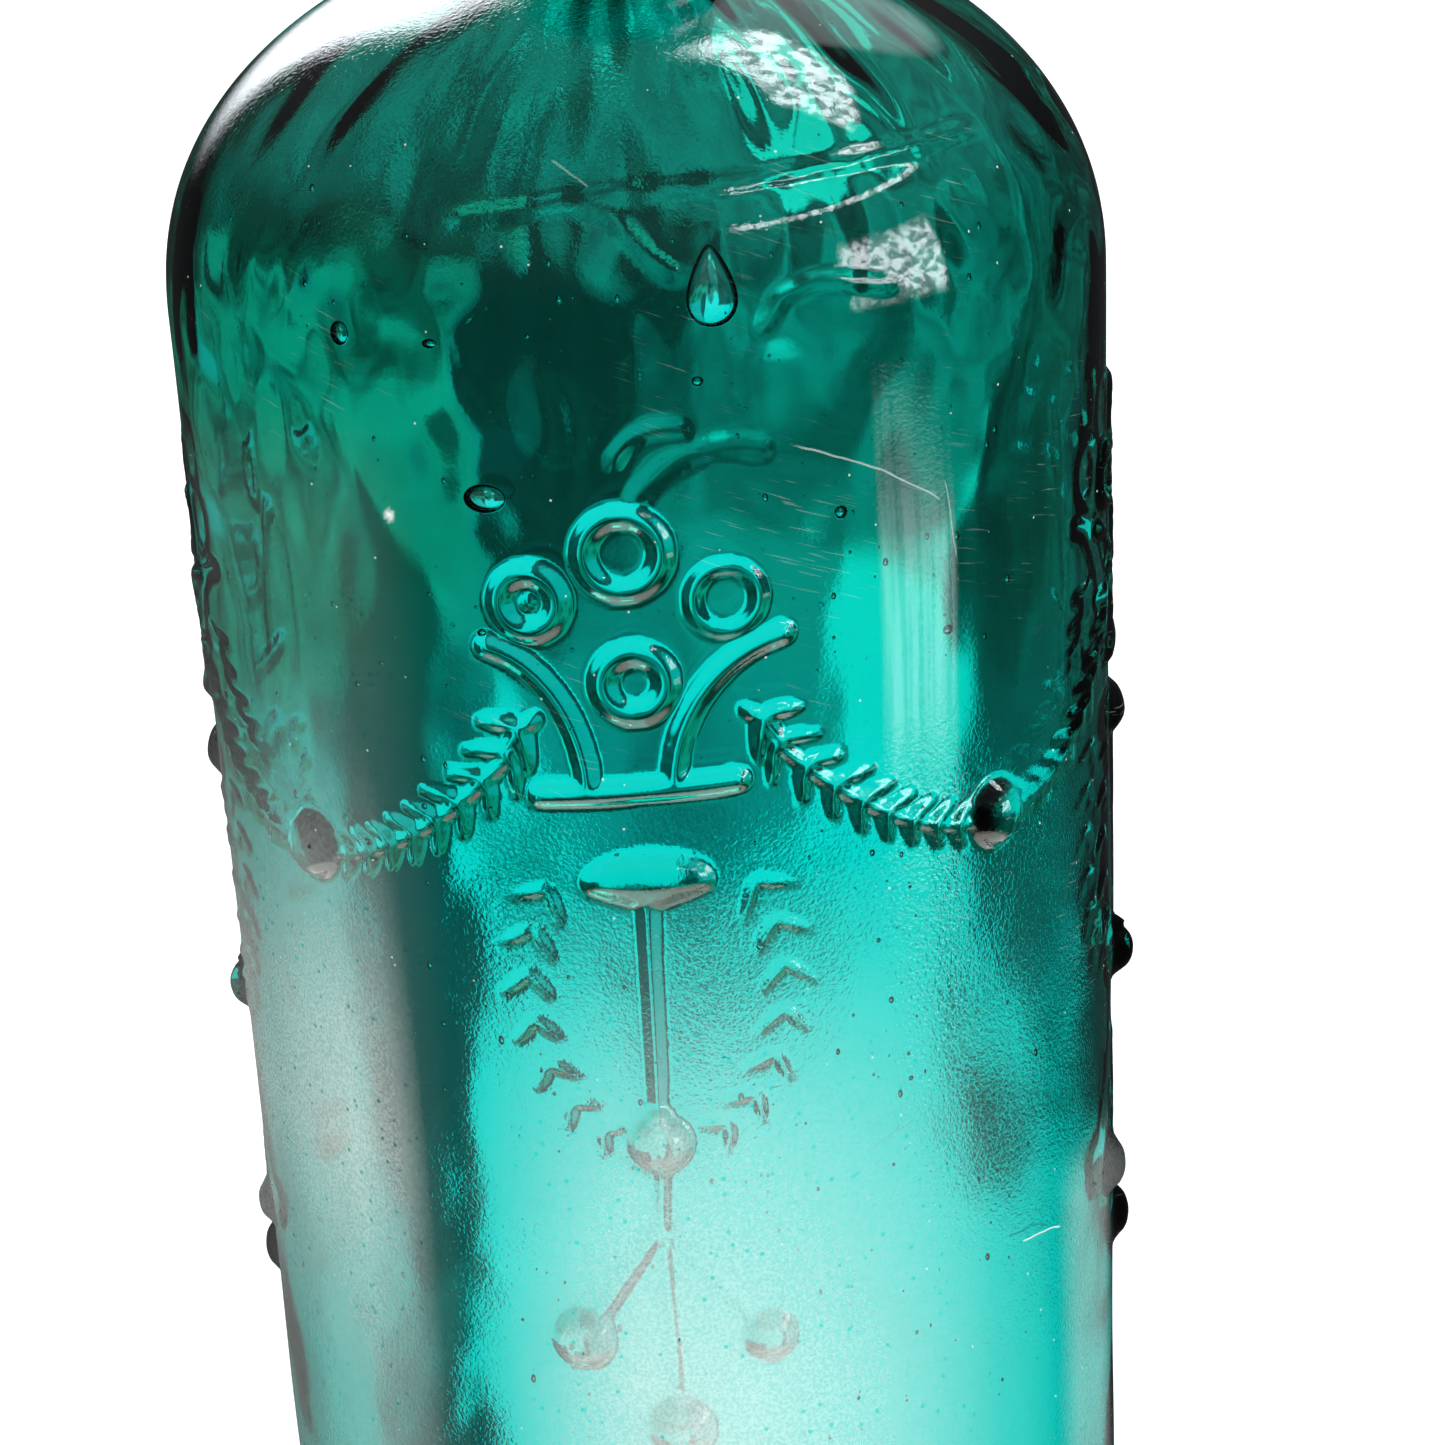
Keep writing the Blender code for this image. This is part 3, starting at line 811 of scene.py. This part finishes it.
def scratches_and_glint(nodes, place):
    """Cover of the scratches on the front and of one painted glint line, each from one place on the body
    to another.
    """
    split = nodes.add("ShaderNodeSeparateXYZ")
    nodes.feed(split.inputs[0], place)
    x, y, z = split.outputs
    around = nodes.math("ARCTAN2", x, nodes.math("MULTIPLY", y, -1.0))
    around = nodes.math("MULTIPLY", around, GIRTH_RADIUS)
    up = nodes.math("MULTIPLY_ADD", z, 1000.0, -CAP_Z)
    wobble = nodes.math("MULTIPLY_ADD", nodes.noise(place, 260.0, 1.0), 0.9, -0.45)
    cover = 0.0
    for ax, ay, bx, by, strength in SCRATCHES_AND_GLINT:
        length = math.hypot(bx - ax, by - ay)
        ux, uy = (bx - ax) / length, (by - ay) / length
        along = nodes.math("MULTIPLY_ADD", around, ux / length, -(ax * ux + ay * uy) / length)
        along = nodes.math("MULTIPLY_ADD", up, uy / length, along)
        aside = nodes.math("MULTIPLY_ADD", around, -uy, ax * uy - ay * ux)
        aside = nodes.math("ADD", nodes.math("MULTIPLY_ADD", up, ux, aside), wobble)
        bow = nodes.math("MULTIPLY", along, nodes.math("SUBTRACT", 1.0, along))
        bow = nodes.math("MULTIPLY", bow, 0.16 * length)
        apart = nodes.math("ABSOLUTE", nodes.math("SUBTRACT", aside, bow))
        line = nodes.step(apart, 0.04, 0.13, strength, 0.0)
        ends = nodes.math("MULTIPLY", nodes.step(along, 0.0, 0.1), nodes.step(along, 0.9, 1.0, 1.0, 0.0))
        cover = nodes.math("MAXIMUM", cover, nodes.math("MULTIPLY", line, ends))
    front = nodes.step(y, -0.012, -0.008, 1.0, 0.0)
    return nodes.math("MULTIPLY", cover, front)


def blown_glass():
    """Teal glass with a pebbled skin, fine scratches, and a bloom of dust and dried film; the same whitish
    cover also paints one glint line and a pale glow on the tall studs.
    """
    material, nodes, shader = node_material("blown_glass")
    place = nodes.object_coordinates()
    shader.inputs["Base Color"].default_value = (1.0, 1.0, 1.0, 1.0)
    shader.inputs["IOR"].default_value = 1.5
    shader.inputs["Transmission Weight"].default_value = 1.0
    add_absorption(nodes, GLASS_TINT, GLASS_DENSITY)

    film = nodes.attribute("film")
    pebbles = nodes.noise(place, 2600.0, 1.5, 0.5, 0.6)
    skin = nodes.math("MULTIPLY", pebbles, film)
    bump = nodes.add("ShaderNodeBump")
    bump.inputs["Strength"].default_value = 1.0
    bump.inputs["Distance"].default_value = PEBBLE_HEIGHT
    nodes.feed(bump.inputs["Height"], skin)
    nodes.tree.links.new(bump.outputs[0], shader.inputs["Normal"])
    smudges = nodes.step(nodes.noise(place, 60.0, 2.0, 0.7), 0.5, 0.8, 0.0, 0.015)
    nodes.feed(shader.inputs["Roughness"], smudges)

    # this attribute holds the dust bloom and the painted glow on the tall studs
    dust_and_painted_glow = nodes.attribute("dust_and_painted_glow")
    grain = nodes.step(nodes.noise(place, 3000.0, 2.0, 0.6), 0.35, 0.65, 0.8, 1.15)
    holes = nodes.step(cells(nodes, place, 560.0), 0.08, 0.16, 0.3, 1.0)
    cover = nodes.math("MULTIPLY", nodes.math("MULTIPLY", dust_and_painted_glow, grain), holes, clamp=True)
    flecks = nodes.step(cells(nodes, place, 330.0), 0.028, 0.05, 0.55, 0.0)
    cover = nodes.math("MAXIMUM", cover, flecks)
    scuffs = nodes.step(nodes.noise(place, 45.0, 2.0, 0.6), 0.5, 0.7, 0.0, 0.1)
    lines = nodes.noise(nodes.turned(place, 22.0, (0.0045, 0.0045, 0.0002)), 1.0, 1.0, 0.5)
    cover = nodes.math("MAXIMUM", cover, nodes.math("MULTIPLY", nodes.step(lines, 0.66, 0.74), scuffs))
    cover = nodes.math("MAXIMUM", cover, scratches_and_glint(nodes, place))
    # Whitish diffuse cover: real dust, flecks and scratches, and also a painted glint line and a painted
    # glow on the tall studs.
    dust_and_painted_light = nodes.add("ShaderNodeBsdfDiffuse")
    dust_and_painted_light.inputs["Color"].default_value = (0.78, 0.83, 0.79, 1.0)
    blend = nodes.add("ShaderNodeMixShader")
    nodes.feed(blend.inputs[0], cover)
    nodes.feed(blend.inputs[1], shader.outputs[0])
    nodes.feed(blend.inputs[2], dust_and_painted_light.outputs[0])
    nodes.tree.links.new(blend.outputs[0], nodes.tree.nodes["Material Output"].inputs["Surface"])
    return material


def cork_material():
    material, nodes, shader = node_material("cork")
    place = nodes.object_coordinates()
    grain = nodes.noise(place, 700.0, 4.0, 0.65)
    pores = nodes.step(nodes.noise(nodes.scaled(place, (1.0, 1.0, 2.2)), 420.0, 2.0, 0.5), 0.62, 0.7)
    base = nodes.mix_colour(grain, (0.33, 0.18, 0.085, 1.0), (0.56, 0.37, 0.2, 1.0))
    nodes.feed(shader.inputs["Base Color"], nodes.mix_colour(pores, base, (0.1, 0.045, 0.02, 1.0)))
    shader.inputs["Roughness"].default_value = 0.85
    bump = nodes.add("ShaderNodeBump")
    bump.inputs["Distance"].default_value = 0.0004
    nodes.feed(bump.inputs["Height"], nodes.math("SUBTRACT", grain, pores))
    nodes.tree.links.new(bump.outputs[0], shader.inputs["Normal"])
    return material


# ---------------------------------------------------------------- stage

def make_camera():
    """Close in front, a little above, rolled so that the bottle leans left."""
    turn = math.radians(2.756)
    distance, height = 8.129 * GIRTH_RADIUS, CAP_Z + 2.642 * GIRTH_RADIUS
    pitch, yaw, roll = 0.3141, 0.0162, -0.0568
    level = math.cos(pitch)
    forward = Vector((math.sin(yaw) * level, math.cos(yaw) * level, -math.sin(pitch)))
    right = forward.cross(Vector((0, 0, 1))).normalized()
    up = right.cross(forward)
    rolled_right = right * math.cos(roll) + up * math.sin(roll)
    rolled_up = up * math.cos(roll) - right * math.sin(roll)
    axes = Matrix((rolled_right, rolled_up, -forward)).transposed().to_4x4()
    place = Matrix.Translation(Vector((0.0, -distance, height)) * MM)
    data = bpy.data.cameras.new("camera")
    data.lens = 93.7
    data.sensor_width = 36.0
    camera = bpy.data.objects.new("camera", data)
    camera.matrix_world = Matrix.Rotation(turn, 4, "Z") @ place @ axes
    bpy.context.scene.collection.objects.link(camera)
    bpy.context.scene.camera = camera


def make_floor():
    """A pale floor that stays out of the glass, whose surroundings come from the world."""
    mesh = bpy.data.meshes.new("floor")
    half = 30.0
    corners = [(-half, -half, 0), (half, -half, 0), (half, half, 0), (-half, half, 0)]
    mesh.from_pydata(corners, [], [(0, 1, 2, 3)])
    floor = bpy.data.objects.new("floor", mesh)
    bpy.context.scene.collection.objects.link(floor)
    material, nodes, shader = node_material("pale_floor")
    shader.inputs["Base Color"].default_value = (0.5, 0.5, 0.5, 1.0)
    shader.inputs["Roughness"].default_value = 0.9
    shader.inputs["Emission Color"].default_value = (1.0, 1.0, 1.0, 1.0)
    shader.inputs["Emission Strength"].default_value = 0.6
    mesh.materials.append(material)
    floor.visible_transmission = False
    floor.visible_glossy = False


def patch(nodes, azimuth, elevation, middle, size):
    """A soft-edged oval of sky: 1 in its middle and 0 outside."""
    u = nodes.math("DIVIDE", nodes.math("SUBTRACT", azimuth, middle[0]), size[0])
    v = nodes.math("DIVIDE", nodes.math("SUBTRACT", elevation, middle[1]), size[1])
    reach = nodes.math("ADD", nodes.math("MULTIPLY", u, u), nodes.math("MULTIPLY", v, v))
    return nodes.step(reach, 0.6, 1.15, 1.0, 0.0)


def band(nodes, value, low, high, soft):
    """1 between low and high, falling to 0 over soft on either side."""
    rise = nodes.step(value, low - soft, low)
    return nodes.math("MULTIPLY", rise, nodes.step(value, high, high + soft, 1.0, 0.0))


def seen_through(nodes, elevation, azimuth, noise):
    """Brightness of what the glass refracts: a dim room above and a bright table below."""
    upper = nodes.step(elevation, -9.0, -6.0, 0.36, 0.08)
    centre = nodes.step(azimuth, -6.8, -6.0, 0.0, 1.0)
    upper = nodes.mix(centre, upper, 0.3)
    upper = nodes.mix(nodes.step(azimuth, 6.0, 7.4), upper, 0.1)
    upper = nodes.mix(nodes.step(azimuth, 18.0, 26.0), upper, 0.16)
    upper = nodes.math("MULTIPLY", upper, nodes.step(noise, 0.3, 0.7, 0.35, 1.6))
    upper = nodes.mix(patch(nodes, azimuth, elevation, (-4.9, -12.5), (1.9, 5.0)), upper, 0.05)
    upper = nodes.mix(patch(nodes, azimuth, elevation, (7.0, 1.6), (3.4, 3.8)), upper, 1.2)
    upper = nodes.mix(patch(nodes, azimuth, elevation, (-4.8, 7.5), (3.2, 4.4)), upper, 1.3)
    upper = nodes.mix(patch(nodes, azimuth, elevation, (-11.0, -18.5), (2.6, 4.5)), upper, 0.12)

    lower = nodes.step(azimuth, -16.9, -13.1, 0.7, 0.1)
    slanted = nodes.math("MULTIPLY_ADD", elevation, -0.25, nodes.math("SUBTRACT", azimuth, 4.75))
    lower = nodes.mix(nodes.step(slanted, -7.9, -7.4), lower, 1.24)
    lower = nodes.mix(patch(nodes, azimuth, elevation, (-2.2, -21.4), (1.3, 1.8)), lower, 0.3)
    right = nodes.step(azimuth, 5.8, 7.4)
    lower = nodes.mix(right, lower, nodes.step(elevation, -25.8, -23.4, 1.24, 0.1))
    edge = nodes.math("MULTIPLY_ADD", noise, 3.0, nodes.math("SUBTRACT", elevation, 1.5))
    sag = nodes.step(azimuth, -0.4, 1.8, 1.0, 0.0)
    sag = nodes.math("MULTIPLY", nodes.step(azimuth, -6.4, -5.2), sag)
    edge = nodes.math("MULTIPLY_ADD", sag, 3.2, edge)
    edge = nodes.math("MULTIPLY_ADD", band(nodes, azimuth, 1.6, 6.2, 0.8), -2.2, edge)
    low = nodes.step(edge, -18.6, -16.2, 1.0, 0.0)
    return nodes.mix(low, upper, lower)


def mirrored(nodes, direction, elevation, azimuth, noise):
    """Brightness of what the glass reflects: a side window with a bright ledge, and lit ceiling."""
    def product(first, second):
        return nodes.math("MULTIPLY", first, second)

    ragged = nodes.step(noise, 0.44, 0.56, 0.2, 1.0)
    streaks = nodes.noise(nodes.scaled(direction, (34.0, 34.0, 5.0)), 1.0, 2.0, 0.6)
    streaks = nodes.step(streaks, 0.4, 0.6, 1.5, 4.2)
    window = product(band(nodes, elevation, 2.0, 17.0, 5.0), product(ragged, 14.0))
    window = product(window, band(nodes, azimuth, 100.0, 125.0, 2.0))
    glow = product(band(nodes, elevation, -19.2, -16.6, 1.8), streaks)
    glow = product(glow, band(nodes, azimuth, 101.0, 119.0, 3.0))
    ledge = product(band(nodes, elevation, 32.5, 33.6, 0.4), product(ragged, 14.0))
    ledge = product(ledge, band(nodes, azimuth, 92.0, 150.0, 4.0))
    slant = nodes.math("MULTIPLY_ADD", azimuth, 0.2, elevation)
    right = product(band(nodes, azimuth, 34.0, 88.0, 5.0), band(nodes, slant, 68.0, 82.0, 2.5))
    right = product(right, product(ragged, 16.0))
    left = product(band(nodes, azimuth, -30.0, -8.0, 5.0), nodes.step(elevation, 0.0, 24.0, 0.0, 8.5))
    left = product(left, nodes.step(elevation, 43.0, 51.0, 1.0, 0.0))
    veil = product(patch(nodes, azimuth, elevation, (31.0, 48.0), (17.0, 19.0)), 1.5)
    under = nodes.step(elevation, -62.0, -48.0, 3.0, 0.03)
    base = nodes.math("MAXIMUM", under, nodes.step(elevation, 5.0, 40.0, 0.03, 0.15))
    for lamp in (window, glow, ledge, right, left, veil):
        base = nodes.math("MAXIMUM", base, lamp)
    return base


def make_world():
    world = bpy.data.worlds.new("studio")
    world.use_nodes = True
    bpy.context.scene.world = world
    nodes = Nodes(world.node_tree)
    direction = nodes.add("ShaderNodeTexCoord").outputs["Generated"]
    split = nodes.add("ShaderNodeSeparateXYZ")
    nodes.feed(split.inputs[0], direction)
    x, y, z = split.outputs
    degrees = 180.0 / math.pi
    elevation = nodes.math("MULTIPLY", nodes.math("ARCSINE", z), degrees)
    azimuth = nodes.math("MULTIPLY", nodes.math("ARCTAN2", x, y), degrees)
    noise = nodes.noise(direction, 13.0, 2.0, 0.5)
    path = nodes.add("ShaderNodeLightPath")
    through = seen_through(nodes, elevation, azimuth, noise)
    mirror = mirrored(nodes, direction, elevation, azimuth, nodes.noise(direction, 26.0, 2.0, 0.6))
    tint = nodes.step(elevation, -20.0, -15.0)
    warm = nodes.mix_colour(nodes.step(azimuth, -8.5, -6.5), (1.1, 0.97, 0.68, 1.0), (1.1, 1.0, 0.84, 1.0))
    through = grey(nodes, through, nodes.mix_colour(tint, (1.0, 1.0, 1.0, 1.0), warm))
    cool = nodes.step(elevation, -40.0, -20.0)
    low, high = grey(nodes, mirror, (1.0, 0.93, 0.88)), grey(nodes, mirror, (0.93, 0.99, 1.04))
    mirror = nodes.mix_colour(cool, low, high)
    light = nodes.mix_colour(path.outputs["Is Transmission Ray"], mirror, through)
    light = nodes.mix_colour(path.outputs["Is Diffuse Ray"], light, (1.0, 1.0, 1.0, 1.0))
    light = nodes.mix_colour(path.outputs["Is Camera Ray"], light, (1.0, 1.0, 1.0, 1.0))
    nodes.feed(world.node_tree.nodes["Background"].inputs["Color"], light)


def grey(nodes, value, tint):
    """A colour of the given tint and brightness."""
    made = nodes.add("ShaderNodeVectorMath", operation="SCALE")
    nodes.feed(made.inputs[0], tint)
    nodes.feed(made.inputs["Scale"], value)
    return made.outputs[0]


def main():
    make_camera()
    bpy.context.scene.view_settings.view_transform = "Standard"
    glass = blown_glass()
    body = new_piece("blown_vessel", glass_mesh("blown_vessel"), glass, "bottle")
    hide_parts("bottle_body")
    lip = new_piece("tooled_lip", lip_mesh(), glass, "bottle")
    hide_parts("applied_lip")
    cork = new_piece("bark_cork", cork_mesh(), cork_material(), "stopper")
    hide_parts("cork_stopper")
    make_floor()
    make_world()


main()
